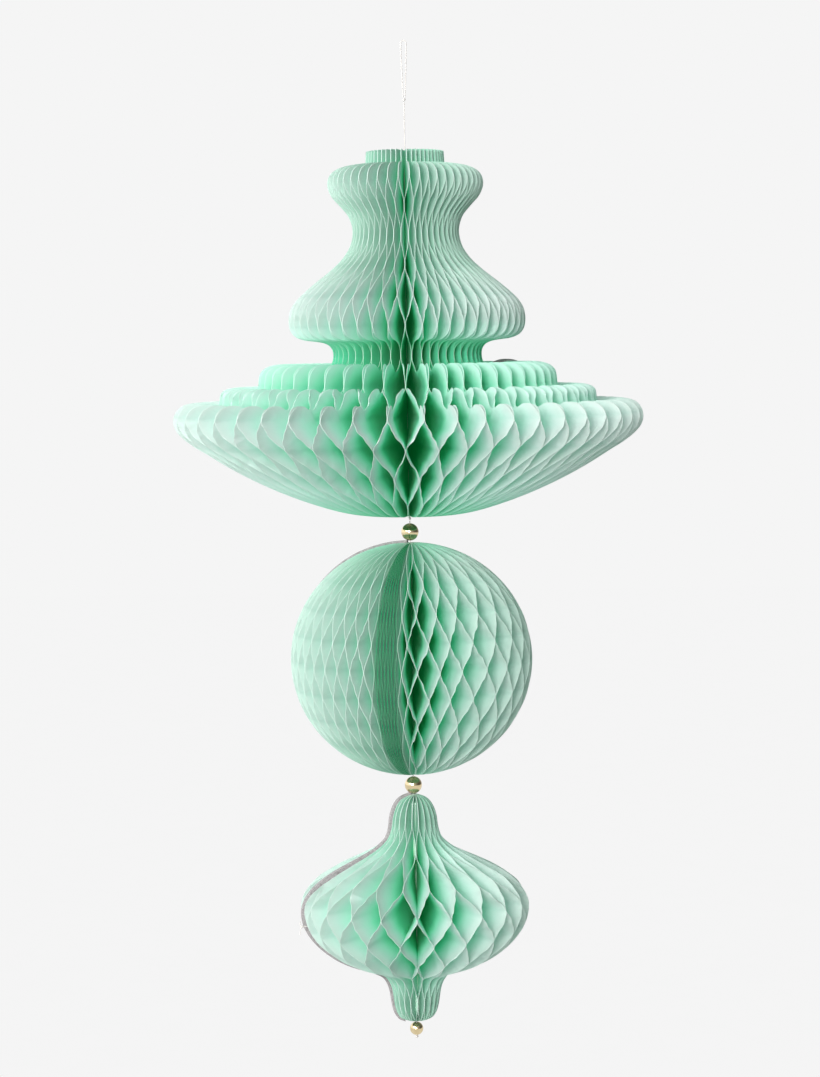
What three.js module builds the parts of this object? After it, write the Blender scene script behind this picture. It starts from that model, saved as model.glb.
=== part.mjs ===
// A hanging string of three paper honeycomb bodies: a tiered canopy, a ball and a finial,
// strung on one thread with round metal beads between them.
// Millimetres, +Z up. The origin is the top of the hanging loop, and the front faces -Y.
import * as THREE from "three";

// ---- Driving dimensions -------------------------------------------------------------

// Thread, knots and beads
const THREAD_D = 0.7;
const KNOT_R = 1.1;
const KNOT_GAP = 0.3; // between a knot and the thread that leaves it
const LOOP_BEND_R = 1.5;
const BIG_BEAD_R = 5.0;
const END_BEAD_R = 3.9;
const BORE_R = 0.9;

// Heights along the thread
const LOOP_KNOT_Z = -33.6;
const UPPER_KNOT_Z = -271.5;
const UPPER_BEAD_Z = -279.4;
const LOWER_KNOT_Z = -417.4;
const LOWER_BEAD_Z = -426.5;
const END_BEAD_Z = -570.4;
const END_KNOT_Z = -575.4;

// Leaves and covers
const PACKETS = 12; // groups of leaves round each body
const PACKET_DEG = 1.2; // the paper of one group, pressed together
const LEAF_INNER_R = 7; // the leaves' straight inner edge
const BOARD_T = 1.2;
const BOARD_PROUD = 1.2; // how far the covers stand out past the leaves
const BOARD_GAP = 0.3; // between the two covers when the body is open
const SPINE_R = 5.4;
const SPINE_BORE_R = 1.0;
const SPINE_INSET = 2.5; // the spine ends this far inside the leaves
const CURVE_STEPS = 4; // straight stretches along each curve of an outline

// Canopy outline: radii and heights of its rings and hollows
const CANOPY_TOP_Z = -62.4;
const CANOPY_BOTTOM_Z = -269.8;
const CAP_R = 22.1;
const COLLAR_R = 44.4;
const WAIST_R = 30.3;
const BULGE_R = 67.6;
const NECK_R = 42.4;
const TIER_R = [85.2, 107.6, 134.3]; // three steps of the brim, from the top down
const CANOPY_TIE_Z = -214; // the knot that ties the two covers

// Ball outline
const BALL_Z = -352.6;
const BALL_R = 69.6;
const BALL_HALF_HEIGHT = 67.1;

// Finial outline
const FINIAL_TOP_Z = -433.7;
const FINIAL_BOTTOM_Z = -564.3;
const FINIAL_R = 66.4;
const STEM_R = 13.4;
const TAIL_R = 13.9;
const FINIAL_TIE_Z = -505;

// Where the covers meet, seen from above: degrees from +X towards +Y
const CANOPY_COVER_DEG = 37;
const BALL_COVER_DEG = 162;
const FINIAL_COVER_DEG = -165;

// ---- Materials ----------------------------------------------------------------------

const finish = (color, roughness, metalness) =>
  new THREE.MeshStandardMaterial({ color, roughness, metalness });

const PAPER = { color: 0xa9dcc4, roughness: 0.85, metalness: 0 };
const BOARD = { color: 0xb2acac, roughness: 0.9, metalness: 0 };
const GLUE = { color: 0x8fcbb0, roughness: 0.7, metalness: 0 };
const THREAD = { color: 0xe9e7e2, roughness: 0.6, metalness: 0 };
const GOLD = { color: 0xd8c07a, roughness: 0.12, metalness: 1 };

const root = new THREE.Group();

// Adds a mesh under its node name.
function add(name, geometry, look, parent = root) {
  const mesh = new THREE.Mesh(geometry, finish(look.color, look.roughness, look.metalness));
  mesh.name = name;
  parent.add(mesh);
  return mesh;
}

// ---- Outlines, as radius and height, from the top down ---------------------------------

function canopyOutline() {
  const p = new THREE.Path();
  p.moveTo(LEAF_INNER_R, CANOPY_TOP_Z);
  p.lineTo(CAP_R, CANOPY_TOP_Z - 0.3);
  p.lineTo(CAP_R + 0.4, -69.9);
  p.bezierCurveTo(36, -70.3, COLLAR_R, -72.2, COLLAR_R, -81.1); // collar
  p.bezierCurveTo(COLLAR_R, -90.9, WAIST_R, -94.8, WAIST_R, -107.1); // waist
  p.bezierCurveTo(WAIST_R, -119.4, 38, -125.8, 53, -137.2);
  p.bezierCurveTo(62.5, -145.1, BULGE_R, -149, BULGE_R, -158); // bulge
  p.bezierCurveTo(BULGE_R, -165.9, 64, -169, 52, -169.8);
  p.bezierCurveTo(45, -170.6, NECK_R, -172.8, NECK_R, -177.8); // neck
  p.bezierCurveTo(NECK_R, -183.7, NECK_R + 4, -187, NECK_R + 9, -187);
  p.bezierCurveTo(NECK_R + 18, -187, TIER_R[0] - 22, -182.3, TIER_R[0] - 14, -182.3); // first step
  p.bezierCurveTo(TIER_R[0] - 5, -182.3, TIER_R[0], -185.2, TIER_R[0], -191.2);
  p.bezierCurveTo(TIER_R[0], -195.2, TIER_R[0] + 1, -197.8, TIER_R[0] + 4, -197.8);
  p.bezierCurveTo(TIER_R[0] + 8, -197.8, TIER_R[1] - 13, -195.3, TIER_R[1] - 9.5, -195.3); // second step
  p.bezierCurveTo(TIER_R[1] - 4, -195.3, TIER_R[1], -197.1, TIER_R[1], -200.6);
  p.bezierCurveTo(TIER_R[1], -204.1, TIER_R[1] + 1, -206.2, TIER_R[1] + 4, -206.2);
  p.bezierCurveTo(TIER_R[1] + 9, -206.2, TIER_R[2] - 18, -203.8, TIER_R[2] - 13, -203.8); // brim
  p.bezierCurveTo(TIER_R[2] - 5, -203.8, TIER_R[2], -207.1, TIER_R[2], -214);
  p.bezierCurveTo(TIER_R[2], -220.5, 126, -227, 116, -232.5);
  p.bezierCurveTo(100, -243, 85, -251, 66, -258.5); // bowl under the brim
  p.bezierCurveTo(48, -265.2, 36, -269.2, 20, -269.6);
  p.lineTo(LEAF_INNER_R, CANOPY_BOTTOM_Z);
  return p.getPoints(CURVE_STEPS);
}

function ballOutline() {
  const pole = Math.asin(LEAF_INNER_R / BALL_R);
  const quarter = Math.PI / 2;
  const p = new THREE.Path();
  p.absellipse(0, BALL_Z, BALL_R, BALL_HALF_HEIGHT, quarter - pole, pole - quarter, true, 0);
  return p.getPoints(6 * CURVE_STEPS);
}

function finialOutline() {
  const p = new THREE.Path();
  p.moveTo(LEAF_INNER_R, FINIAL_TOP_Z);
  p.bezierCurveTo(9.4, -435, 12.2, -438.6, STEM_R, -445.2);
  p.bezierCurveTo(13.9, -450.5, 14.6, -456.5, 18.4, -459.6);
  p.bezierCurveTo(23, -465, 38, -470.3, 49, -476.4); // shoulder
  p.bezierCurveTo(60, -482.6, FINIAL_R, -489.3, FINIAL_R, -497.7);
  p.bezierCurveTo(FINIAL_R, -508.3, 57.5, -518.6, 46, -525.8);
  p.bezierCurveTo(37, -531.6, 24.5, -533.6, 19.5, -537.5);
  p.bezierCurveTo(16, -540.5, 14.4, -546, TAIL_R, -551.1); // tail
  p.bezierCurveTo(13, -557.4, 12, -563.3, LEAF_INNER_R, FINIAL_BOTTOM_Z);
  return p.getPoints(CURVE_STEPS);
}

// The same outline, a little larger all along but for its straight inner edge.
function grown(outline, by) {
  const last = outline.length - 1;
  return outline.map((p, i) => {
    const along = new THREE.Vector2().subVectors(outline[Math.min(i + 1, last)], outline[Math.max(i - 1, 0)]);
    const outward = new THREE.Vector2(-along.y, along.x).normalize();
    if (i === 0 || i === last) return new THREE.Vector2(p.x, p.y + (i === 0 ? by : -by));
    return new THREE.Vector2(p.x + outward.x * by, p.y + outward.y * by);
  });
}

// The outline's radius at a height: the largest, where it passes that height more than once.
function radiusAt(outline, z) {
  let found = 0;
  for (let i = 1; i < outline.length; i++) {
    const [a, b] = [outline[i - 1], outline[i]];
    if ((a.y - z) * (b.y - z) > 0 || a.y === b.y) continue;
    found = Math.max(found, a.x + ((b.x - a.x) * (a.y - z)) / (a.y - b.y));
  }
  return found;
}

// ---- Shapes ---------------------------------------------------------------------------

// A plate with this outline, standing in the plane of X and Z, and thick along Y.
function plate(outline, thickness) {
  const shape = new THREE.Shape(outline);
  const geometry = new THREE.ExtrudeGeometry(shape, { depth: thickness, bevelEnabled: false });
  return geometry.rotateX(Math.PI / 2).translate(0, thickness / 2, 0);
}

// A plate that widens away from the axis, as a pack of leaves fanned about it does.
function wedge(outline, degrees) {
  const geometry = plate(outline, 2);
  const position = geometry.getAttribute("position");
  const perRadius = Math.tan(THREE.MathUtils.degToRad(degrees / 2));
  for (let i = 0; i < position.count; i++) {
    position.setY(i, position.getY(i) * position.getX(i) * perRadius);
  }
  return geometry;
}

// A straight thread between two heights on the axis.
function straightThread(top, bottom) {
  const geometry = new THREE.CylinderGeometry(THREAD_D / 2, THREAD_D / 2, top - bottom, 8);
  return geometry.rotateX(Math.PI / 2).translate(0, 0, (top + bottom) / 2);
}

// A round body with a bore along the axis: the profile closes on itself.
function boredRound(outer, boreRadius, segments) {
  const first = outer[0];
  const last = outer[outer.length - 1];
  const profile = [
    new THREE.Vector2(boreRadius, first.y),
    ...outer,
    new THREE.Vector2(boreRadius, last.y),
    new THREE.Vector2(boreRadius, first.y),
  ];
  return new THREE.LatheGeometry(profile, segments).rotateX(Math.PI / 2);
}

function bead(radius) {
  const start = Math.asin((BORE_R + 0.25) / radius);
  const steps = 10;
  const outer = [];
  for (let i = 0; i <= steps; i++) {
    const a = -Math.PI / 2 + start + ((Math.PI - 2 * start) * i) / steps;
    outer.push(new THREE.Vector2(radius * Math.cos(a), radius * Math.sin(a)));
  }
  return boredRound(outer, BORE_R, 20);
}

function knot(radius) {
  return new THREE.IcosahedronGeometry(radius, 1);
}

// ---- Sub-parts -------------------------------------------------------------------------

// A loop of thread for a hook: up from the knot, round a small bend and down again.
function hangingLoop() {
  const foot = LOOP_KNOT_Z + KNOT_R + KNOT_GAP;
  const apart = LOOP_BEND_R;
  const points = [new THREE.Vector3(-THREAD_D * 0.8, 0, foot)];
  for (let i = 0; i <= 8; i++) {
    const a = Math.PI - (Math.PI * i) / 8;
    const z = apart * Math.sin(a) - apart - THREAD_D / 2;
    points.push(new THREE.Vector3(apart * Math.cos(a), 0, z));
  }
  points.push(new THREE.Vector3(THREAD_D * 0.8, 0, foot));
  const route = new THREE.CatmullRomCurve3(points, false, "centripetal");
  const section = new THREE.Shape();
  section.absarc(0, 0, THREAD_D / 2, 0, 2 * Math.PI, false);
  const options = { steps: 44, extrudePath: route, curveSegments: 4, bevelEnabled: false };
  add("hanging_loop", new THREE.ExtrudeGeometry(section, options), THREAD);
}

// One honeycomb body: its glued spine, two covers with the knot that ties them, and leaves.
function honeycomb(name, outline, coverDegrees, tieZ) {
  const group = new THREE.Group();
  group.rotation.z = THREE.MathUtils.degToRad(coverDegrees);
  root.add(group);

  const top = outline[0].y - SPINE_INSET;
  const bottom = outline[outline.length - 1].y + SPINE_INSET;
  const spine = [new THREE.Vector2(SPINE_R, bottom), new THREE.Vector2(SPINE_R, top)];
  add(name + "_spine", boredRound(spine, SPINE_BORE_R, 12), GLUE, group);

  const cut = grown(outline, BOARD_PROUD);
  const beside = (BOARD_GAP + BOARD_T) / 2;
  add(name + "_cover_a", plate(cut, BOARD_T), BOARD, group).position.y = beside;
  add(name + "_cover_b", plate(cut, BOARD_T), BOARD, group).position.y = -beside;

  const tie = add(name + "_cover_tie", knot(KNOT_R * 0.9), THREAD, group);
  tie.position.set(radiusAt(cut, tieZ) + KNOT_R + KNOT_GAP, beside, tieZ);

  for (let i = 1; i <= PACKETS; i++) {
    const label = String(i).padStart(2, "0");
    const leaves = add(name + "_leaves_" + label, wedge(outline, PACKET_DEG), PAPER, group);
    leaves.rotation.z = ((i - 0.5) * 2 * Math.PI) / PACKETS;
  }
}

function threads() {
  const clear = KNOT_R + KNOT_GAP;
  add("canopy_thread", straightThread(LOOP_KNOT_Z - clear, UPPER_KNOT_Z + clear), THREAD);
  add("ball_thread", straightThread(UPPER_KNOT_Z - clear, LOWER_KNOT_Z + clear), THREAD);
  add("finial_thread", straightThread(LOWER_KNOT_Z - clear, END_KNOT_Z + clear), THREAD);
}

function knots() {
  add("loop_knot", knot(KNOT_R), THREAD).position.z = LOOP_KNOT_Z;
  add("upper_knot", knot(KNOT_R), THREAD).position.z = UPPER_KNOT_Z;
  add("lower_knot", knot(KNOT_R), THREAD).position.z = LOWER_KNOT_Z;
  add("end_knot", knot(KNOT_R), THREAD).position.z = END_KNOT_Z;
}

function beads() {
  add("upper_bead", bead(BIG_BEAD_R), GOLD).position.z = UPPER_BEAD_Z;
  add("lower_bead", bead(BIG_BEAD_R), GOLD).position.z = LOWER_BEAD_Z;
  add("end_bead", bead(END_BEAD_R), GOLD).position.z = END_BEAD_Z;
}

hangingLoop();
threads();
knots();
beads();
honeycomb("canopy", canopyOutline(), CANOPY_COVER_DEG, CANOPY_TIE_Z);
honeycomb("ball", ballOutline(), BALL_COVER_DEG, BALL_Z);
honeycomb("finial", finialOutline(), FINIAL_COVER_DEG, FINIAL_TIE_Z);

export default root;
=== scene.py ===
"""Looks for a hanging string of three mint paper honeycomb bodies with gold beads between them.

Metres, +Z up, front towards -Y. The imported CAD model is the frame: outlines, places and the angle of
the covers are read from it, and each pack of leaves is opened out into its single leaves, glued in
rows of cells.
"""

import math

import bpy
import numpy as np
from mathutils import Matrix, Vector
from mathutils.geometry import delaunay_2d_cdt


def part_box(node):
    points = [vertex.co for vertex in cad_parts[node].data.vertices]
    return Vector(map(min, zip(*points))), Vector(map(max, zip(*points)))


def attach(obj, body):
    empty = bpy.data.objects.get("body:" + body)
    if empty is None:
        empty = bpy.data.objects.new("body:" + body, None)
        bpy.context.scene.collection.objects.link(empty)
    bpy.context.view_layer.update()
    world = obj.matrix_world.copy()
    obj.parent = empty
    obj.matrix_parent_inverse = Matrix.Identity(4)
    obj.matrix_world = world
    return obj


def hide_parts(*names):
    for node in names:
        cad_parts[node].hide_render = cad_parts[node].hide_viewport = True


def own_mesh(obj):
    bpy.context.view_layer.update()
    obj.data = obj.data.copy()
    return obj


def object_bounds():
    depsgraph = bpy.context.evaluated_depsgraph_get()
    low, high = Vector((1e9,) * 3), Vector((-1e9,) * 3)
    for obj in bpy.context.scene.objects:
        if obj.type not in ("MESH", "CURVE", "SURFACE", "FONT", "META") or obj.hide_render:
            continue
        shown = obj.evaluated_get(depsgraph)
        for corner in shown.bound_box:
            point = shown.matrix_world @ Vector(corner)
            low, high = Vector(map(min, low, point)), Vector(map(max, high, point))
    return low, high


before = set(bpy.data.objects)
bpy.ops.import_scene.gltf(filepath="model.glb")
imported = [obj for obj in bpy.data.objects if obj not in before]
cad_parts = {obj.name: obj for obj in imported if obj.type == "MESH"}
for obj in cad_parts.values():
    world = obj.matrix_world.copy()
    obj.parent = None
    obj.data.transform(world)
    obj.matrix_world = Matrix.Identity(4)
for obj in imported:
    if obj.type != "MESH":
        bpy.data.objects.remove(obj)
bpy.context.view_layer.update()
MM = 0.001
FULL_TURN = 360.0

# ---- Camera -------------------------------------------------------------------------------

CAMERA_DISTANCE = 1.40
CAMERA_HEIGHT = -0.1723
CAMERA_PITCH_DEG = 4.53  # downwards
CAMERA_ROLL_DEG = -0.78
CAMERA_LENS_MM = 81.6


def add_camera():
    data = bpy.data.cameras.new("camera")
    data.lens = CAMERA_LENS_MM
    data.clip_end = 20
    camera = bpy.data.objects.new("camera", data)
    bpy.context.scene.collection.objects.link(camera)
    tilt = Matrix.Rotation(math.radians(90 - CAMERA_PITCH_DEG), 4, "X")
    roll = Matrix.Rotation(math.radians(CAMERA_ROLL_DEG), 4, "Z")
    camera.matrix_world = Matrix.Translation((0, -CAMERA_DISTANCE, CAMERA_HEIGHT)) @ tilt @ roll
    bpy.context.scene.camera = camera


add_camera()

# ---- Node helpers ---------------------------------------------------------------------------


def srgb(red, green, blue):
    """A linear colour from 0 to 255 screen values."""
    def linear(value):
        share = value / 255
        return share / 12.92 if share <= 0.04045 else ((share + 0.055) / 1.055) ** 2.4

    return (linear(red), linear(green), linear(blue), 1)


class Nodes:
    """A short way to build a material's nodes."""

    def __init__(self, name):
        self.material = bpy.data.materials.new(name)
        self.material.use_nodes = True
        self.tree = self.material.node_tree
        self.tree.nodes.clear()
        self.out = self.tree.nodes.new("ShaderNodeOutputMaterial")

    def new(self, kind, settings=None, **inputs):
        node = self.tree.nodes.new(kind)
        for key, value in (settings or {}).items():
            setattr(node, key, value)
        for key, value in inputs.items():
            self.plug(node.inputs[key.replace("_", " ")], value)
        return node

    def plug(self, socket, value):
        if isinstance(value, bpy.types.NodeSocket):
            self.tree.links.new(value, socket)
        else:
            socket.default_value = value

    def ramp(self, factor, stops):
        node = self.new("ShaderNodeValToRGB", Fac=factor)
        elements = node.color_ramp.elements
        while len(elements) < len(stops):
            elements.new(0.5)
        for element, (position, colour) in zip(elements, stops):
            element.position = position
            element.color = colour
        return node.outputs["Color"]

    def noise(self, vector, scale, detail=3.0, roughness=0.55):
        node = self.new("ShaderNodeTexNoise", Vector=vector, Scale=scale, Detail=detail,
                        Roughness=roughness)
        return node.outputs["Fac"]

    def stretched(self, scale):
        """Object coordinates, stretched by a scale along each axis."""
        coordinates = self.new("ShaderNodeTexCoord").outputs["Object"]
        return self.new("ShaderNodeMapping", Vector=coordinates, Scale=scale).outputs["Vector"]

    def bump(self, height, distance, strength=1.0, normal=None):
        node = self.new("ShaderNodeBump", Height=height, Distance=distance, Strength=strength)
        if normal is not None:
            self.plug(node.inputs["Normal"], normal)
        return node.outputs["Normal"]

    def attribute(self, name):
        return self.new("ShaderNodeAttribute", {"attribute_name": name}).outputs["Fac"]

    def mixed(self, factor, first, second, blend="MIX"):
        node = self.new("ShaderNodeMix", {"data_type": "RGBA", "blend_type": blend})
        self.plug(node.inputs["Factor"], factor)
        self.plug(node.inputs[6], first)
        self.plug(node.inputs[7], second)
        return node.outputs[2]

    def tinted(self, factor, light, dark):
        """A colour between dark and light, by a factor from 0 to 1."""
        return self.ramp(factor, [(0.25, dark), (0.75, light)])

    def principled(self, **inputs):
        return self.new("ShaderNodeBsdfPrincipled", **inputs)

    def finish(self, shader):
        self.tree.links.new(shader.outputs[0], self.out.inputs["Surface"])
        return self.material


# ---- Materials -----------------------------------------------------------------------------

WHITE = (1, 1, 1, 1)
PAPER_PALE = srgb(219, 230, 226)
PAPER_SOFT = srgb(210, 231, 225)
PAPER_MID = srgb(200, 234, 224)
PAPER_DEEP = srgb(132, 232, 204)
THROUGH_PALE = srgb(217, 227, 223)  # the light that comes through a leaf, at its rim
THROUGH_DEEP = srgb(150, 234, 206)
# Ramps from the open air, 0, to DEEP_AT, 1: painted shade, the paper darker and greener deeper in the
# cells, for the shade and bounced light there.
PAPER_SHADED_BY_DEPTH = [(0.0, PAPER_PALE), (0.28, PAPER_SOFT), (0.6, PAPER_MID), (1.0, PAPER_DEEP)]
THROUGH_SHADED_BY_DEPTH = [(0.2, THROUGH_PALE), (0.9, THROUGH_DEEP)]
# painted light: a green glow in the paper, strongest part way into the cells
PAINTED_GLOW = [
    (0.0, (0, 0, 0, 1)), (0.2, (0.03, 0.042, 0.04, 1)), (0.5, (0.03, 0.068, 0.056, 1)),
    (0.75, (0.006, 0.068, 0.04, 1)), (1.0, (0, 0.012, 0.004, 1)),
]
PAPER_EDGE = srgb(228, 240, 235)
# painted shade: the cut edges of leaves packed close, for the dark between them
PACKED_EDGE_SHADE = srgb(10, 152, 96)
PAPER_CREASE = (0.9, 0.955, 0.94, 1)
# painted shade where leaves stand close, and on bodies hung in the shade of others
CROWDED_SHADE = (0.4, 0.84, 0.62, 1)
PAPER_CLOUD = (0.94, 0.965, 0.95, 1)
TRANSLUCENT_SHARE = 0.42
DEEP_AT = 26 * MM
BOARD_SPECKS = [(0.3, srgb(116, 111, 111)), (0.5, srgb(150, 146, 147)), (0.7, srgb(171, 167, 167))]


def paper_material(name, edge=False):
    """Thin matt tissue, a little see-through, with crinkles and fibres; painted shade and a painted
    green glow deep in the cells.
    """
    n = Nodes(name)
    flat = n.stretched((1, 1, 1))
    fibres = n.noise(n.stretched((1, 1, 0.25)), 1500, 4.0, 0.6)
    crinkle = n.noise(flat, 160, 3.0)
    cloudy = n.noise(flat, 45, 2.0)
    normal = n.bump(crinkle, 0.5 * MM, 0.35)
    normal = n.bump(fibres, 0.06 * MM, 0.5, normal)
    if edge:
        cut = n.tinted(cloudy, PAPER_EDGE, PAPER_PALE)
        # painted shade: the cut edges of packed leaves turn dark green
        colour = through_colour = n.mixed(n.attribute("packed"), cut, PACKED_EDGE_SHADE)
    else:
        # painted shade: the paper is darker and greener the deeper it lies from the open air
        depth = n.new("ShaderNodeMapRange", Value=n.attribute("depth"), From_Max=DEEP_AT).outputs[0]
        colour = n.ramp(depth, PAPER_SHADED_BY_DEPTH)
        colour = n.mixed(1.0, colour, n.tinted(cloudy, WHITE, PAPER_CLOUD), "MULTIPLY")
        # the paper is a little darker and greener along each glue strip
        colour = n.mixed(n.attribute("glued"), colour, PAPER_CREASE, "MULTIPLY")
        # painted shade: darker and greener where leaves crowd, and on the ball and finial
        colour = n.mixed(n.attribute("crowded"), colour, CROWDED_SHADE, "MULTIPLY")
        # painted shade in the light through the leaves too: greener deeper in the cells
        through_colour = n.ramp(depth, THROUGH_SHADED_BY_DEPTH)
    surface = n.principled(Base_Color=colour, Roughness=0.72, Normal=normal)
    surface.inputs["Specular IOR Level"].default_value = 0.15 if edge else 0.3
    surface.inputs["Sheen Weight"].default_value = 0.03 if edge else 0.1
    surface.inputs["Sheen Roughness"].default_value = 0.5
    if not edge:
        # painted light: the paper glows green inside the cells, for light bounced through the tissue
        n.plug(surface.inputs["Emission Color"], n.ramp(depth, PAINTED_GLOW))
        surface.inputs["Emission Strength"].default_value = 1 / (1 - TRANSLUCENT_SHARE)
    through = n.new("ShaderNodeBsdfTranslucent", Color=through_colour, Normal=normal)
    mix = n.new("ShaderNodeMixShader", Fac=TRANSLUCENT_SHARE)
    n.tree.links.new(surface.outputs[0], mix.inputs[1])
    n.tree.links.new(through.outputs[0], mix.inputs[2])
    return n.finish(mix)


def board_material():
    """Grey recycled board: speckled, with the layers of its pulp along the cut edge."""
    n = Nodes("grey_board")
    flat = n.stretched((1, 1, 1))
    speckle = n.noise(flat, 900, 4.0, 0.7)
    layers = n.noise(n.stretched((1, 1, 0.06)), 2600, 2.0)
    blotch = n.noise(flat, 120, 3.0)
    colour = n.ramp(speckle, BOARD_SPECKS)
    normal = n.bump(blotch, 0.2 * MM, 0.3)
    normal = n.bump(layers, 0.12 * MM, 0.6, normal)
    surface = n.principled(Base_Color=colour, Roughness=0.9, Normal=normal)
    surface.inputs["Specular IOR Level"].default_value = 0.2
    return n.finish(surface)


def spine_material():
    """Leaf edges set in pale glue."""
    n = Nodes("glued_spine")
    patches = n.noise(n.stretched((1, 1, 0.4)), 260, 3.0)
    colour = n.tinted(patches, srgb(226, 238, 230), srgb(170, 214, 192))
    rough = n.new("ShaderNodeMapRange", Value=patches, To_Min=0.75, To_Max=0.35).outputs[0]
    normal = n.bump(patches, 0.3 * MM, 0.6)
    return n.finish(n.principled(Base_Color=colour, Roughness=rough, Normal=normal))


def thread_material():
    """White spun thread: its plies are modelled, and this adds the fibres."""
    n = Nodes("white_thread")
    fibres = n.noise(n.stretched((1, 1, 0.3)), 5000, 3.0)
    colour = n.tinted(fibres, srgb(214, 210, 206), srgb(186, 181, 177))
    normal = n.bump(fibres, 0.05 * MM, 0.6)
    surface = n.principled(Base_Color=colour, Roughness=0.65, Normal=normal)
    surface.inputs["Sheen Weight"].default_value = 0.3
    return n.finish(surface)


def gold_material():
    """Polished pale gold plating, with the faint haze of handling."""
    n = Nodes("polished_gold")
    haze = n.noise(n.stretched((1, 1, 1)), 420, 4.0)
    rough = n.new("ShaderNodeMapRange", Value=haze, To_Min=0.07, To_Max=0.2).outputs[0]
    colour = n.tinted(haze, srgb(232, 216, 178), srgb(214, 194, 150))
    ripple = n.bump(n.noise(n.stretched((1, 1, 1)), 500, 2.0), 0.02 * MM, 0.5)
    surface = n.principled(Base_Color=colour, Roughness=rough, Normal=ripple)
    surface.inputs["Metallic"].default_value = 1
    return n.finish(surface)


PAPER = paper_material("tissue_paper")
PAPER_CUT = paper_material("tissue_paper_cut_edge", edge=True)
BOARD = board_material()
SPINE = spine_material()
THREAD = thread_material()
GOLD = gold_material()

# ---- Mesh helpers ---------------------------------------------------------------------------

SMOOTH_UNDER_DEG = 42


def add_mesh(name, points, faces, materials, face_slots=None):
    """An object with this mesh, smooth but for its real corners."""
    mesh = bpy.data.meshes.new(name)
    mesh.from_pydata(np.asarray(points).tolist(), [], [list(map(int, f)) for f in faces])
    for material in materials:
        mesh.materials.append(material)
    if face_slots is not None:
        mesh.polygons.foreach_set("material_index", np.asarray(face_slots, dtype=np.int32))
    mesh.shade_smooth()
    mesh.set_sharp_from_angle(angle=math.radians(SMOOTH_UNDER_DEG))
    mesh.update()
    piece = bpy.data.objects.new(name, mesh)
    bpy.context.scene.collection.objects.link(piece)
    return piece


def settle(piece, body, slot, *nodes):
    """Rides the piece on its body and hides the CAD nodes it stands for; slot is not used."""
    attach(piece, body)
    if nodes:
        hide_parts(*nodes)
    return piece


def smooth_route(points, step, corner_deg=FULL_TURN):
    """Points along a centripetal Catmull-Rom curve, broken at the corners of the route."""
    p = np.asarray(points, float)
    ways = np.diff(p, axis=0)
    lengths = np.linalg.norm(ways, axis=1)
    turns = [math.degrees(math.acos(np.clip(a @ b / (m * n), -1, 1)))
             for a, b, m, n in zip(ways, ways[1:], lengths, lengths[1:])]
    sharp = [True] + [turn > corner_deg for turn in turns] + [True]
    found = [p[:1]]
    for i in range(len(p) - 1):
        a, b = p[i], p[i + 1]
        before = 2 * a - b if sharp[i] else p[i - 1]
        after = 2 * b - a if sharp[i + 1] else p[i + 2]
        knots = np.cumsum([0] + [math.sqrt(max(np.linalg.norm(v), 1e-9))
                                 for v in (a - before, b - a, after - b)])
        count = max(1, math.ceil(lengths[i] / step))
        t = knots[1] + (knots[2] - knots[1]) * np.arange(1, count + 1)[:, None] / count
        found.append(catmull_rom(before, a, b, after, knots, t))
    return np.concatenate(found)


def catmull_rom(p0, p1, p2, p3, knots, t):
    """The centripetal Catmull-Rom curve between p1 and p2 at knot values t."""
    def between(a, b, start, end):
        return ((end - t) * a + (t - start) * b) / (end - start)

    k0, k1, k2, k3 = knots
    a1, a2, a3 = between(p0, p1, k0, k1), between(p1, p2, k1, k2), between(p2, p3, k2, k3)
    return between(between(a1, a2, k0, k2), between(a2, a3, k1, k3), k1, k2)


def ring_faces(count, sides, closed):
    """Faces between rings of points, and from the last ring to the first where it is closed."""
    return [(i * sides + j, i * sides + (j + 1) % sides,
             (i + 1) % count * sides + (j + 1) % sides, (i + 1) % count * sides + j)
            for i in range(count if closed else count - 1) for j in range(sides)]


def lathe(name, profile, sides, material, ridges=0, ridge_height=0.0):
    """A ring swept about the axis from a closed profile of radius and height."""
    profile = np.asarray(profile, float)
    angles = 2 * math.pi * np.arange(sides) / sides
    swell = ridge_height * np.cos(ridges * angles)
    points = []
    for radius, height in profile:
        radii = radius + swell * (radius > profile[:, 0].min() + ridge_height)
        points.append(np.stack([radii * np.cos(angles), radii * np.sin(angles),
                                np.full(sides, height)], 1))
    faces = ring_faces(len(profile), sides, closed=True)
    return add_mesh(name, np.concatenate(points), faces, [material])


# ---- Thread, knots and ties -------------------------------------------------------------------

THREAD_R = 0.35 * MM
THREAD_PLIES = 3
THREAD_TWIST = 3.2 * MM  # along the thread for one turn
THREAD_SIDES = 15
THREAD_STEP = 0.5 * MM
PLY_DEPTH = 0.1  # of the radius
LOOP_STEP = 0.4 * MM
LOOP_BEND_R = 1.5 * MM
LOOP_BEND_STEPS = 8
LOOP_FOOT_HALF = 0.56 * MM


def spun_thread(name, route):
    """A thread of twisted plies along a route in the plane of X and Z."""
    along = np.gradient(route, axis=0)
    along /= np.linalg.norm(along, axis=1)[:, None]
    side = np.array([0.0, 1.0, 0.0])
    across = np.cross(along, side)
    run = np.concatenate([[0], np.cumsum(np.linalg.norm(np.diff(route, axis=0), axis=1))])
    angle = 2 * math.pi * np.arange(THREAD_SIDES) / THREAD_SIDES
    twist = angle[None, :] - 2 * math.pi * run[:, None] / THREAD_TWIST
    radius = THREAD_R * (1 - PLY_DEPTH + PLY_DEPTH * np.cos(THREAD_PLIES * twist))
    rings = (route[:, None] + (radius * np.cos(angle))[..., None] * side
             + (radius * np.sin(angle))[..., None] * across[:, None])
    count, sides = len(route), THREAD_SIDES
    faces = ring_faces(count, sides, closed=False)
    faces += [tuple(range(sides))[::-1], tuple(range((count - 1) * sides, count * sides))]
    return add_mesh(name, rings.reshape(-1, 3), faces, [THREAD])


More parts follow.
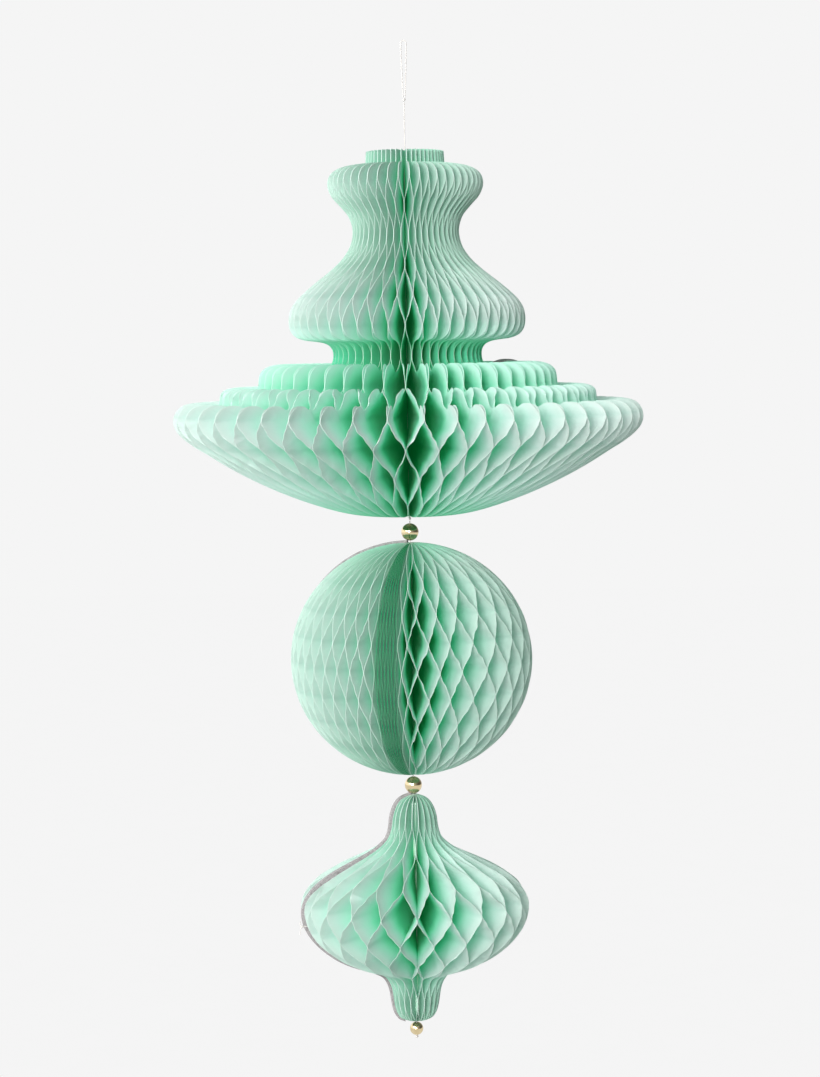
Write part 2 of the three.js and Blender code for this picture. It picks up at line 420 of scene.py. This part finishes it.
def loop_route():
    """Up from the knot, round the small bend for a hook and down again."""
    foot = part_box("hanging_loop")[0].z
    top = -LOOP_BEND_R - THREAD_R
    points = [(-LOOP_FOOT_HALF, 0, foot)]
    for i in range(LOOP_BEND_STEPS + 1):
        a = math.pi - math.pi * i / LOOP_BEND_STEPS
        points.append((LOOP_BEND_R * math.cos(a), 0, top + LOOP_BEND_R * math.sin(a)))
    points.append((LOOP_FOOT_HALF, 0, foot))
    return smooth_route(points, LOOP_STEP)


def add_threads():
    route = loop_route()
    loop = settle(spun_thread("loop_thread", route), "root", "thread", "hanging_loop")
    for node in ("canopy_thread", "ball_thread", "finial_thread"):
        low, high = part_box(node)
        heights = np.arange(high.z, low.z, -THREAD_STEP)
        route = np.stack([0 * heights, 0 * heights, heights], 1)
        thread = settle(spun_thread(node + "_spun", route), node, "thread", node)


add_threads()


def tube(name, points, radius, closed=False):
    """A round thread through these points, as a mesh."""
    curve = bpy.data.curves.new(name, "CURVE")
    curve.dimensions = "3D"
    curve.bevel_depth = radius
    curve.bevel_resolution = 4
    curve.use_fill_caps = True
    spline = curve.splines.new("POLY")
    spline.points.add(len(points) - 1)
    for point, place in zip(spline.points, points):
        point.co = (*place, 1)
    spline.use_cyclic_u = closed
    drawn = bpy.data.objects.new(name + "_curve", curve)
    bpy.context.scene.collection.objects.link(drawn)
    mesh = bpy.data.meshes.new_from_object(drawn.evaluated_get(bpy.context.evaluated_depsgraph_get()))
    bpy.data.objects.remove(drawn)
    bpy.data.curves.remove(curve)
    mesh.name = name
    mesh.materials.clear()
    mesh.materials.append(THREAD)
    mesh.shade_smooth()
    piece = bpy.data.objects.new(name, mesh)
    bpy.context.scene.collection.objects.link(piece)
    return piece


def joined(pieces):
    """One object from several."""
    with bpy.context.temp_override(active_object=pieces[0], selected_editable_objects=pieces):
        bpy.ops.object.join()
    return pieces[0]


KNOT_POINTS = 72
KNOT_PLUMPNESS = 2.2  # the knot's width for its thickness


def knot_points(centre, radius, turn):
    """A closed trefoil, as the thread of a pulled overhand knot runs."""
    found = []
    for i in range(KNOT_POINTS):
        t = 2 * math.pi * i / KNOT_POINTS
        x = (math.sin(t) + 2 * math.sin(2 * t)) / 3
        y = (math.cos(t) - 2 * math.cos(2 * t)) / 3
        z = -math.sin(3 * t) / KNOT_PLUMPNESS
        found.append(Vector((x * math.cos(turn) - z * math.sin(turn), y,
                             x * math.sin(turn) + z * math.cos(turn))))
    return [Vector(centre) + radius * v for v in found]


KNOT_THREAD_R = 0.34 * MM
KNOT_TURN = 0.9  # radians, and one more for each knot, so that no two look the same
KNOT_BODIES = {"loop_knot": "loop_knot", "upper_knot": "upper_knot", "lower_knot": "lower_knot",
               "end_knot": "finial_thread"}


def add_knots():
    for number, (node, body) in enumerate(KNOT_BODIES.items()):
        low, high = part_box(node)
        radius = (high.z - low.z) / 2 - KNOT_THREAD_R
        route = knot_points((low + high) / 2, radius, KNOT_TURN + number)
        pulled = tube(node + "_pulled", route, KNOT_THREAD_R, closed=True)
        settle(pulled, body, "thread", node)


add_knots()

# ---- Beads ---------------------------------------------------------------------------------

BEAD_BODIES = ("upper_bead", "lower_bead", "end_bead")
BEAD_BORE_R = 0.9 * MM
BEAD_LIP = 0.22 * MM
BEAD_SIDES = 96
BEAD_ARC_POINTS = 49
LIP_POINTS = 5


def add_beads():
    for node in BEAD_BODIES:
        low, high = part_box(node)
        radius = (high.x - low.x) / 2
        middle = (low.z + high.z) / 2
        start = math.asin((BEAD_BORE_R + BEAD_LIP) / radius)
        arc = np.linspace(start, math.pi - start, BEAD_ARC_POINTS)
        profile = [(radius * math.sin(a), middle + radius * math.cos(a)) for a in arc]
        rim = radius * math.cos(start)
        lip = np.linspace(0, math.pi / 2, LIP_POINTS)[1:]
        below = [(BEAD_BORE_R + BEAD_LIP * math.cos(a), middle - rim + BEAD_LIP * math.sin(a))
                 for a in lip]
        above = [(BEAD_BORE_R + BEAD_LIP * math.cos(a), middle + rim - BEAD_LIP * math.sin(a))
                 for a in lip[::-1]]
        bead = lathe(node + "_polished", (profile + below + above)[::-1], BEAD_SIDES, GOLD)
        settle(bead, node, "gold", node)


add_beads()

# ---- Honeycomb bodies -------------------------------------------------------------------------

PACKETS = 12
PACKET_DEG = FULL_TURN / PACKETS
LEAF_T = 0.19 * MM
LEAF_ROOM = 0.75  # a leaf is no thicker than this share of the turn between its glue planes
LEAF_SHIFT = 0.55  # of its thickness, from a glue plane to the middle of the leaf
LEAF_ROOT_R = 5.2 * MM  # inside the spine's glue
LEAF_EYE_R = 1.5 * MM  # round the thread, above and below the spine
SPINE_CLEARANCE = 0.2 * MM
CORNER_DEG = 40
EDGE_STEP = 1.6 * MM
COLUMN_STEP = 12 * MM
ROWS_PER_PITCH = 16
EDGE_CLEARANCE = 0.7 * MM
BOARD_FACE = 1.4 * MM  # from the covers' middle plane to the face that the leaves are glued to
# Half a glue strip's height, near the spine and away from it.
GLUE_HALF = ([30 * MM, 60 * MM], [2.9 * MM, 0.9 * MM])
BEND_SOFTNESS = 0.05
FLAP = 40 * MM  # this far out past its glue strip a leaf hangs free
FLAP_SPRING = 0.25  # and springs back this share of the way
RIPPLE = 0.05  # of a cell's width
RIPPLE_LENGTHS = (17 * MM, 9.5 * MM, 5.5 * MM)
GLUED_BAND = 0.8 * MM  # half the height of the darker band along a glue strip
PACKED_DEG = (0.9, 2.4)  # leaves this close show only their cut edges, painted dark green for the shade between them
LOOSE_TOP = 4 * MM  # glue this near a leaf's top end has let go
SHADE_SLOPE = 1.3  # a wider part of the outline shades this much less for each step away in height
CROWDED_GAP = 4 * MM  # leaves closer than this keep the light out
SEAM_WANDER = 0.35 * MM
FAR = 9  # more than any share of a cell

# row: height between glue strips in one column. seam: height of one strip of the front column.
# front: where the front column is, and spacing: degrees between leaves at places round the body,
# both in degrees from the front towards the right. wander: how uneven the spacing is, as a share of
# it. painted_shade: painted shade on all its paper, as if its leaves were closer, for the shade it
# hangs in below the bodies above it.
HONEYCOMBS = {
    "canopy": {"row": 33.3 * MM, "seam": -227.8 * MM, "front": -0.4, "wander": 0.05, "painted_shade": 0,
               "spacing": [(-180, 3.8), (-45, 3.85), (-8, 3.9), (5, 4.1), (12, 3.2), (30, 3.6),
                           (180, 3.8)]},
    "ball": {"row": 31.1 * MM, "seam": -352.6 * MM, "front": 2.4, "wander": 0.05, "painted_shade": 0.2,
             "spacing": [(-180, 5.0), (-60, 4.1), (-19, 3.4), (-17, 0.8), (-7.5, 0.8), (-6, 1.9),
                         (-2, 2.6), (2, 5.1), (15, 5.4), (30, 6.8), (60, 6.5), (180, 5.0)]},
    "finial": {"row": 30.7 * MM, "seam": -492.0 * MM, "front": 0.0, "wander": 0.04, "painted_shade": 0.1,
               "spacing": [(-180, 8.2), (-84, 8.0), (-77, 3.6), (-68, 4.2), (-58, 7.6), (0, 8.65),
                           (80, 8.6), (180, 8.2)]},
}


def cad_outline(node, azimuth):
    """Radius and height along a CAD plate's outline, from its inner top corner to its inner foot."""
    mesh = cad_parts[node].data
    mesh.calc_loop_triangles()
    points = np.array([v.co for v in mesh.vertices])
    corners = np.array([t.vertices for t in mesh.loop_triangles])
    turn = math.radians(azimuth - 90)
    facing = np.array([-math.sin(turn), math.cos(turn), 0])
    a, b, c = (points[corners[:, i]] for i in range(3))
    normals = np.cross(b - a, c - a)
    normals /= np.maximum(np.linalg.norm(normals, axis=1), 1e-15)[:, None]
    radii = points[:, 0] * math.cos(turn) + points[:, 1] * math.sin(turn)
    flat = [(round(r / MM, 2), round(z / MM, 2)) for r, z in zip(radii, points[:, 2])]
    links = {}
    for triangle in corners[normals @ facing > 0.9]:
        for i in range(3):
            link = frozenset((flat[triangle[i]], flat[triangle[i - 1]]))
            links[link] = links.get(link, 0) + 1
    beside = {}
    for link in (link for link, uses in links.items() if uses == 1 and len(link) == 2):
        for one in link:
            beside.setdefault(one, []).extend(link - {one})
    inner = min(r for r, _ in beside)
    ends = sorted((p for p in beside if p[0] < inner + 0.01), key=lambda p: p[1])
    route, last = [ends[-1]], ends[0]
    while route[-1] != last:
        route.append(next(p for p in beside[route[-1]]
                          if p not in route[-2:] and (len(route) > 1 or p != last)))
    return np.array(route) * MM


def cover_azimuth(name):
    """Degrees from the front towards the right to where the covers meet."""
    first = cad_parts[name + "_leaves_01"].data
    farthest = max((v.co for v in first.vertices), key=lambda co: math.hypot(co.x, co.y))
    return math.degrees(math.atan2(farthest.y, farthest.x)) + 90 - PACKET_DEG / 2


def is_inside(polygon, places):
    """Which places lie inside a closed polygon, by counting crossings."""
    a, b = polygon, np.roll(polygon, -1, axis=0)
    x, y = places[:, :1], places[:, 1:]
    crosses = (a[:, 1] > y) != (b[:, 1] > y)
    rise = np.where(b[:, 1] == a[:, 1], 1e-12, b[:, 1] - a[:, 1])
    reach = a[:, 0] + (y - a[:, 1]) * (b[:, 0] - a[:, 0]) / rise
    return (crosses & (x < reach)).sum(1) % 2 == 1


def to_the_eye(route, foot_too):
    """The outline with its top end, or both ends, carried on towards the axis, as a dome closes."""
    def end(near, following):
        slope = (near[1] - following[1]) / (following[0] - near[0])
        return [LEAF_EYE_R, near[1] + slope / 2 * (near[0] - LEAF_EYE_R)]

    foot = [end(route[-1], route[-2])] if foot_too else []
    return np.array([end(route[0], route[1]), *route, *foot])


def open_air_depth(points, cut, off_edge):
    """How far each point lies from the open air: from its own cut edge, and inside the slopes that
    the wider parts of the outline throw over it. The paper's painted shade and painted glow follow it."""
    gap = np.abs(points[:, 1:] - cut[None, :, 1])
    shaded = (cut[None, :, 0] - SHADE_SLOPE * gap).max(1) - points[:, 0]
    return (off_edge + np.maximum(shaded, 0)) / 2


def flat_leaf(node, azimuth, spine, row, seam, foot_too):
    """One die-cut leaf or board lying flat: its points as radius and height, its triangles, its
    border, its outline and how deep each point lies."""
    cut = smooth_route(to_the_eye(cad_outline(node, azimuth), foot_too), EDGE_STEP, CORNER_DEG)
    step = row / ROWS_PER_PITCH
    low, high = spine[0] - SPINE_CLEARANCE, spine[1] + SPINE_CLEARANCE
    heights = np.arange(math.ceil((low - seam) / step), (high - seam) / step) * step + seam
    heights = heights[(heights > low + EDGE_CLEARANCE) & (heights < high - EDGE_CLEARANCE)]
    heights = np.concatenate([[low], heights, [high]])
    root = np.stack([np.full(len(heights), LEAF_ROOT_R), heights], 1)
    border = np.concatenate([cut, [[cut[-1, 0], low]], root, [[LEAF_EYE_R, high]]])
    radii = np.arange(LEAF_ROOT_R + COLUMN_STEP / 2, cut[:, 0].max(), COLUMN_STEP)
    grid = np.array([(r, z) for z in heights[1:-1] for r in radii])
    grid = grid[is_inside(border, grid)]
    clear = np.linalg.norm(grid[:, None] - border[None], axis=2).min(1) > EDGE_CLEARANCE
    places = np.concatenate([border, grid[clear]])
    count = len(border)
    edges = [(i, (i + 1) % count) for i in range(count)]
    result = delaunay_2d_cdt([Vector(p) * 1000 for p in places], edges, [], 1, 1e-6)
    points = np.array([(v.x, v.y) for v in result[0]]) / 1000
    triangles = np.array(result[2])
    origin = {old: new for new, olds in enumerate(result[3]) for old in olds}
    loop = np.array([origin[i] for i in range(count)])
    a, b, c = (points[triangles[:, i]] for i in range(3))
    turned = np.cross(b - a, c - a) < 0
    triangles[turned] = triangles[turned][:, ::-1]
    depth = open_air_depth(points, cut, np.linalg.norm(points[:, None] - cut[None], axis=2).min(1))
    return {"points": points, "triangles": triangles, "loop": loop, "depth": depth, "cut": cut}


def glue_planes(front, cover, spacing, wander, random):
    """Azimuths of the planes where neighbouring leaves are glued, and the index of the front one."""
    places, gaps = zip(*spacing)

    def arm(end):
        direction = 1 if end > front else -1
        found = [front]
        while (end - found[-1]) * direction > 0:
            here = (found[-1] + 180) % FULL_TURN - 180
            found.append(found[-1] + direction * float(np.interp(here, places, gaps)))
        offsets = np.array(found) - front
        if abs(found[-2] - end) < abs(found[-1] - end):
            offsets = offsets[:-1]
        return front + offsets * (end - front) / offsets[-1]

    right_end = front + (cover - front) % FULL_TURN
    left, right = arm(right_end - FULL_TURN), arm(right_end)
    planes = np.concatenate([left[::-1], right[1:]])
    gaps = np.minimum(np.diff(planes)[:-1], np.diff(planes)[1:])
    planes[1:-1] += gaps * random.uniform(-wander, wander, len(gaps))
    return planes, len(left) - 1


def seam_heights(plane, front, row, seam, low, high, random):
    """Heights of the glue strips on one plane, from the top down."""
    start = seam + 0.5 * row * ((plane - front) % 2)
    first = math.ceil((low - row - start) / row)
    last = math.floor((high + row - start) / row)
    heights = start + row * np.arange(last, first - 1, -1)
    heights = heights + random.uniform(-SEAM_WANDER, SEAM_WANDER, len(heights))
    return heights[(heights < high - LOOSE_TOP) | (heights > high + LOOSE_TOP)]


def reach_at(cut, heights):
    """The outline's largest radius at each height, and nothing above or below it."""
    a, b = cut[:-1], cut[1:]
    z = np.asarray(heights)[:, None]
    drop = np.where(a[:, 1] == b[:, 1], 1e-9, a[:, 1] - b[:, 1])
    share = (a[:, 1] - z) / drop
    radii = np.where((share >= 0) & (share <= 1), a[:, 0] + (b[:, 0] - a[:, 0]) * share, 0)
    return radii.max(1)


def smooth_step(value):
    share = np.clip(value, 0, 1)
    return share * share * (3 - 2 * share)


def wave(leaf, before, after):
    """From 0, glued to the leaf before, to 1, glued to the leaf after, at each point of a leaf; and how
    near each point is to a glue strip. Past the end of a strip the leaf is held by its other one."""
    radius, height = leaf["points"].T
    heights = np.concatenate([before, after])
    sides = np.concatenate([np.zeros(len(before)), np.ones(len(after))])
    order = np.argsort(-heights)
    heights, sides = heights[order], sides[order]
    reach = reach_at(leaf["cut"], heights)
    at = np.clip(np.searchsorted(-heights, -height) - 1, 0, len(heights) - 2)
    length = heights[at] - heights[at + 1]
    down = (heights[at] - height) / length
    half = np.interp(radius, *GLUE_HALF) / length
    share = np.clip((down - half) / (1 - 2 * half), 0, 1)
    share = share + BEND_SOFTNESS * (smooth_step(share) - share)
    over_top, over_foot = (smooth_step((radius - reach[at + i]) / FLAP) for i in (0, 1))
    swing = (1 - FLAP_SPRING) * (sides[at + 1] - sides[at])
    top = sides[at] + swing * over_top * (1 - over_foot / 2)
    foot = sides[at + 1] - swing * over_foot * (1 - over_top / 2)
    strip = np.minimum(down + FAR * (over_top > 0), 1 - down + FAR * (over_foot > 0)) * length
    return top + (foot - top) * share, 1 - smooth_step((strip - GLUED_BAND) / GLUED_BAND)


def rippled(share, height, random):
    """The wave with a leaf's own small bends, none where it is glued."""
    free = 4 * share * (1 - share)
    for length in RIPPLE_LENGTHS:
        phase, size = random.uniform(0, 2 * math.pi), random.uniform(0.3, 1)
        share = share + RIPPLE * size * free * np.sin(2 * math.pi * height / length + phase)
    return share


def leaf_angles(points, start, end, share):
    """Angle and thickness of a leaf at each point: start and end are its two glue planes, in degrees
    from cover A, and the two boards take their room out of the turn."""
    radius = points[:, 0]
    thickness = np.minimum(LEAF_T, LEAF_ROOM * radius * math.radians(end - start))
    shift = np.degrees(LEAF_SHIFT * thickness / radius)
    angle = start + shift + (end - start - 2 * shift) * share
    board = np.degrees(np.arcsin(BOARD_FACE / radius))
    return np.radians(board + angle * (1 - 2 * board / FULL_TURN)), thickness


def solid_leaf(leaf, angle, thickness):
    """A closed thin leaf: its points, triangles and which triangles are its cut edge."""
    points, triangles, loop = leaf["points"], leaf["triangles"], leaf["loop"]
    radius, height = points.T
    middle = np.stack([radius * np.cos(angle), radius * np.sin(angle), height], 1)
    across = np.stack([-np.sin(angle), np.cos(angle), 0 * angle], 1) * thickness[:, None] / 2
    count = len(points)
    after = np.roll(loop, -1)
    rim = np.concatenate([np.stack([loop, after, after + count], 1),
                          np.stack([loop, after + count, loop + count], 1)])
    faces = np.concatenate([triangles, triangles[:, ::-1] + count, rim])
    return np.concatenate([middle - across, middle + across]), faces, len(rim)


def pack_of_leaves(name, parts):
    """One object from the leaves of a pack, with each leaf's looks as attributes of its points."""
    points, faces, slots, start = [], [], [], 0
    for leaf_points, leaf_faces, rim, _ in parts:
        points.append(leaf_points)
        faces.append(leaf_faces + start)
        slots.append(np.repeat([0, 1], [len(leaf_faces) - rim, rim]))
        start += len(leaf_points)
    faces = np.concatenate(faces)
    piece = add_mesh(name, np.concatenate(points), faces, [PAPER, PAPER_CUT], np.concatenate(slots))
    for look in parts[0][3]:
        values = np.concatenate([np.tile(part[3][look], 2) for part in parts])
        attribute = piece.data.attributes.new(look, "FLOAT", "POINT")
        attribute.data.foreach_set("value", values.astype(np.float32))
    return piece


def add_leaves(name, facts, leaf, cover, seed):
    """Every leaf of one honeycomb, in the pack that holds it."""
    random = np.random.default_rng(seed)
    planes, front = glue_planes(facts["front"], cover, facts["spacing"], facts["wander"], random)
    high, low = leaf["cut"][0, 1], leaf["cut"][-1, 1]
    seams = [seam_heights(i, front, facts["row"], facts["seam"], low, high, random)
             for i in range(len(planes))]
    from_cover = planes - planes[0]
    packs = [[] for _ in range(PACKETS)]
    for i in range(len(planes) - 1):
        start, end = from_cover[i], from_cover[i + 1]
        share, glued = wave(leaf, seams[i], seams[i + 1])
        share = rippled(share, leaf["points"][:, 1], random)
        angle, thickness = leaf_angles(leaf["points"], start, end, share)
        middle = (start + end) / 2
        # how much painted shade the cut edges get where leaves are packed close
        packed = np.interp(end - start, PACKED_DEG, (1, 0))
        gap = leaf["points"][:, 0] * math.radians(end - start)
        # painted shade: darker where leaves stand close, and over a whole body hung in others' shade
        crowded = np.clip(1 - gap / CROWDED_GAP, 0, 1) + facts["painted_shade"]
        looks = {"depth": leaf["depth"], "crowded": crowded, "glued": glued,
                 "packed": np.full(len(glued), packed)}
        solid = solid_leaf(leaf, angle + math.radians(cover - 90), thickness)
        packs[int(middle // PACKET_DEG)].append((*solid, looks))
    for k, parts in enumerate(packs):
        node = f"{name}_leaves_{k + 1:02d}"
        piece = settle(pack_of_leaves(node + "_opened", parts), node, "paper", node)
        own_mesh(piece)
    return len(planes) - 1


BOARD_T = 1.2 * MM
BOARD_ROUNDING = 0.16 * MM
BOARD_GLUE = 0.05 * MM  # between a board and the first leaf


def add_cover(name, which, side, flat, cover):
    """One cover board, a little larger than the leaves, with its corners a little worn."""
    node = f"{name}_cover_{which}"
    points, triangles, loop = flat["points"], flat["triangles"], flat["loop"]
    middle = side * (BOARD_FACE - BOARD_GLUE - BOARD_T / 2)
    ring = points[loop]
    along = np.roll(ring, -1, axis=0) - np.roll(ring, 1, axis=0)
    along /= np.maximum(np.linalg.norm(along, axis=1), 1e-12)[:, None]
    inwards = np.stack([along[:, 1], -along[:, 0]], 1)
    if np.sum(np.cross(ring, np.roll(ring, -1, axis=0))) > 0:
        inwards = -inwards
    layers = [(-BOARD_T / 2, BOARD_ROUNDING), (-BOARD_T / 2 + BOARD_ROUNDING, 0),
              (BOARD_T / 2 - BOARD_ROUNDING, 0), (BOARD_T / 2, BOARD_ROUNDING)]
    inset = np.zeros_like(points)
    inset[loop] = inwards * BOARD_ROUNDING

    def placed(places, offset):
        return np.stack([places[:, 0], np.full(len(places), middle + offset), places[:, 1]], 1)

    count, rim = len(points), len(loop)
    stacked = [placed(points + inset, layers[0][0]), placed(points + inset, layers[3][0]),
               placed(ring, layers[1][0]), placed(ring, layers[2][0])]
    levels = [loop, 2 * count + np.arange(rim), 2 * count + rim + np.arange(rim), count + loop]
    faces = [triangles, triangles[:, ::-1] + count]
    for under, over in zip(levels, levels[1:]):
        a, b = under, np.roll(under, -1)
        c, d = np.roll(over, -1), over
        faces += [np.stack([a, d, c], 1), np.stack([a, c, b], 1)]
    turn = math.radians(cover - 90)
    x, y, z = np.concatenate(stacked).T
    turned = np.stack([x * math.cos(turn) - y * math.sin(turn),
                       x * math.sin(turn) + y * math.cos(turn), z], 1)
    piece = add_mesh(node + "_board", turned, np.concatenate(faces), [BOARD])
    return settle(piece, node, "board", node)


SPINE_RIDGE = 0.14 * MM
SPINE_BORE_R = 1.0 * MM
SPINE_WORN = 0.5 * MM  # off its two ends
SPINE_STEP = 4 * MM
SIDES_PER_RIDGE = 8


def add_spine(name, leaves):
    """The leaves' glued inner edges, round a bore for the thread."""
    node = name + "_spine"
    low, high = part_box(node)
    outer = (high.x - low.x) / 2
    heights = np.linspace(low.z, high.z, int((high.z - low.z) / SPINE_STEP))
    side = [(outer - (SPINE_WORN if z in (low.z, high.z) else 0), z) for z in heights]
    profile = [(SPINE_BORE_R, low.z)] + side + [(SPINE_BORE_R, high.z)]
    spine = lathe(node + "_glued", profile, SIDES_PER_RIDGE * leaves, SPINE, leaves, SPINE_RIDGE)
    settle(spine, name + "_cover_a", "spine", node)


TIE_R = 0.25 * MM
TIE_STEP = 0.3 * MM
TIE_HOLE_INSET = 3.2 * MM
TIE_PROUD = 1.4 * MM  # from the covers' rim out to the middle of the knot
TIE_KNOT_R = 0.75 * MM
TIE_KNOT_TURN = 0.5


def add_tie(name, cover):
    """A stitch of thread round both covers at the rim, with its knot and two short ends."""
    node = name + "_cover_tie"
    low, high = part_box(node)
    centre = (low + high) / 2
    turn = math.radians(cover - 90)
    out = Vector((math.cos(turn), math.sin(turn), 0))
    across = Vector((-math.sin(turn), math.cos(turn), 0))
    rim = centre.dot(out) - TIE_PROUD
    around = BOARD_FACE + TIE_R
    z = centre.z

    def place(radius, offset, height):
        return out * radius + across * offset + Vector((0, 0, height))

    stitch = [place(rim - TIE_HOLE_INSET, around, z), place(rim - 1 * MM, around, z + 0.2 * MM),
              place(rim + 0.5 * MM, 0.6 * around, z + 0.3 * MM), place(rim + 0.7 * MM, 0, z + 0.2 * MM),
              place(rim + 0.5 * MM, -0.6 * around, z), place(rim - 1 * MM, -around, z - 0.1 * MM),
              place(rim - TIE_HOLE_INSET, -around, z), place(rim - TIE_HOLE_INSET - 0.3 * MM, 0, z)]
    knot = knot_points(centre, TIE_KNOT_R, TIE_KNOT_TURN)
    ends = [[centre, centre + place(1.2 * MM, 0.6 * MM, -1.6 * MM),
             centre + place(1.5 * MM, 1.4 * MM, -4.2 * MM)],
            [centre, centre + place(1.0 * MM, -1.2 * MM, 1.0 * MM),
             centre + place(0.4 * MM, -2.6 * MM, 2.6 * MM)]]
    ring = smooth_route([tuple(p) for p in stitch + stitch[:1]], TIE_STEP)[:-1]
    pieces = [tube(node + "_knotted", ring, TIE_R, closed=True),
              tube(node + "_knot", knot, TIE_R, closed=True)]
    pieces += [tube(f"{node}_end_{i}", smooth_route([tuple(p) for p in end], TIE_STEP), TIE_R)
               for i, end in enumerate(ends)]
    settle(joined(pieces), name + "_cover_a", "thread", node)


def add_honeycomb(name, facts, seed):
    """One paper body: its leaves, its two covers, its spine and its tie."""
    cover = cover_azimuth(name)
    spine = [corner.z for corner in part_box(name + "_spine")]
    row, seam = facts["row"], facts["seam"]
    leaf = flat_leaf(name + "_leaves_01", cover + PACKET_DEG / 2, spine, row, seam, foot_too=True)
    board = flat_leaf(name + "_cover_a", cover, spine, row, seam, foot_too=False)
    leaves = add_leaves(name, facts, leaf, cover, seed)
    add_cover(name, "a", 1, board, cover)
    add_cover(name, "b", -1, board, cover)
    add_spine(name, leaves)
    add_tie(name, cover)
    print(name, leaves, "leaves,", len(leaf["triangles"]), "triangles a side")


for number, (name, facts) in enumerate(HONEYCOMBS.items()):
    add_honeycomb(name, facts, seed=11 + number)

# ---- Light, backdrop and floor ------------------------------------------------------------------

BACKDROP = 0.913
FLOOR_DROP = 40 * MM
FLOOR_HALF = 3.0
FLOOR_GRAIN = 0.004
# Directions to the left and to the right, and the strength of the light at each.
STUDIO_LIGHT = (-1, 1, 1.24, 0.1)
STUDIO_SEEN_IN_METAL = (-0.7, 0.9, 1.35, 0.12)
LAMP_AIM = (0, 0, -0.3)
LAMPS = {"key": ((-1.3, -1.1, 0.5), 1.0, 14), "front": ((-0.45, -1.9, 0.1), 0.9, 38)}
DIFFUSE_BOUNCES = 12  # the light deep in the cells has bounced many times
MAX_BOUNCES = 16


def add_world():
    """An even pale backdrop to the eye, and soft light that is brighter from the left. Polished metal
    sees a studio with a dark side."""
    world = bpy.data.worlds.new("studio")
    bpy.context.scene.world = world
    world.use_nodes = True
    tree = world.node_tree
    tree.nodes.clear()
    direction = tree.nodes.new("ShaderNodeTexCoord").outputs["Generated"]
    split = tree.nodes.new("ShaderNodeSeparateXYZ")
    tree.links.new(direction, split.inputs[0])
    path = tree.nodes.new("ShaderNodeLightPath")

    def sky(strength):
        node = tree.nodes.new("ShaderNodeBackground")
        node.inputs["Color"].default_value = WHITE
        if isinstance(strength, tuple):
            spread = tree.nodes.new("ShaderNodeMapRange")
            for key, value in zip(("From Min", "From Max", "To Min", "To Max"), strength):
                spread.inputs[key].default_value = value
            tree.links.new(split.outputs["X"], spread.inputs["Value"])
            tree.links.new(spread.outputs[0], node.inputs["Strength"])
        else:
            node.inputs["Strength"].default_value = strength
        return node.outputs[0]

    def choose(ray, one, other):
        mix = tree.nodes.new("ShaderNodeMixShader")
        tree.links.new(path.outputs[ray], mix.inputs[0])
        tree.links.new(other, mix.inputs[1])
        tree.links.new(one, mix.inputs[2])
        return mix.outputs[0]

    lit = choose("Is Glossy Ray", sky(STUDIO_SEEN_IN_METAL), sky(STUDIO_LIGHT))
    out = tree.nodes.new("ShaderNodeOutputWorld")
    tree.links.new(choose("Is Camera Ray", sky(BACKDROP), lit), out.inputs["Surface"])


def add_area_light(name, place, size, watts):
    data = bpy.data.lights.new(name, "AREA")
    data.shape = "DISK"
    data.size = size
    data.energy = watts
    lamp = bpy.data.objects.new(name, data)
    bpy.context.scene.collection.objects.link(lamp)
    lamp.location = place
    lamp.rotation_euler = (Vector(LAMP_AIM) - Vector(place)).to_track_quat("-Z", "Y").to_euler()
    lamp.visible_camera = False


def add_floor():
    """A pale floor under the string, as bright as the backdrop."""
    n = Nodes("pale_floor")
    grain = n.noise(n.stretched((1, 1, 1)), 40, 2.0)
    light, dark = ((level, level, level, 1) for level in (BACKDROP, BACKDROP - FLOOR_GRAIN))
    colour = n.tinted(grain, light, dark)
    material = n.finish(n.new("ShaderNodeEmission", Color=colour, Strength=1.0))
    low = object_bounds()[0][2] - FLOOR_DROP
    corners = [(x * FLOOR_HALF, y * FLOOR_HALF, low)
               for x, y in ((-1, -1), (1, -1), (1, 1), (-1, 1))]
    floor = add_mesh("floor", corners, [(0, 1, 2, 3)], [material])
    floor.visible_diffuse = False
    floor.visible_shadow = False


add_world()
for name, (place, size, watts) in LAMPS.items():
    add_area_light(name, place, size, watts)
add_floor()
bpy.context.scene.view_settings.view_transform = "Standard"
bpy.context.scene.cycles.diffuse_bounces = DIFFUSE_BOUNCES
bpy.context.scene.cycles.max_bounces = MAX_BOUNCES
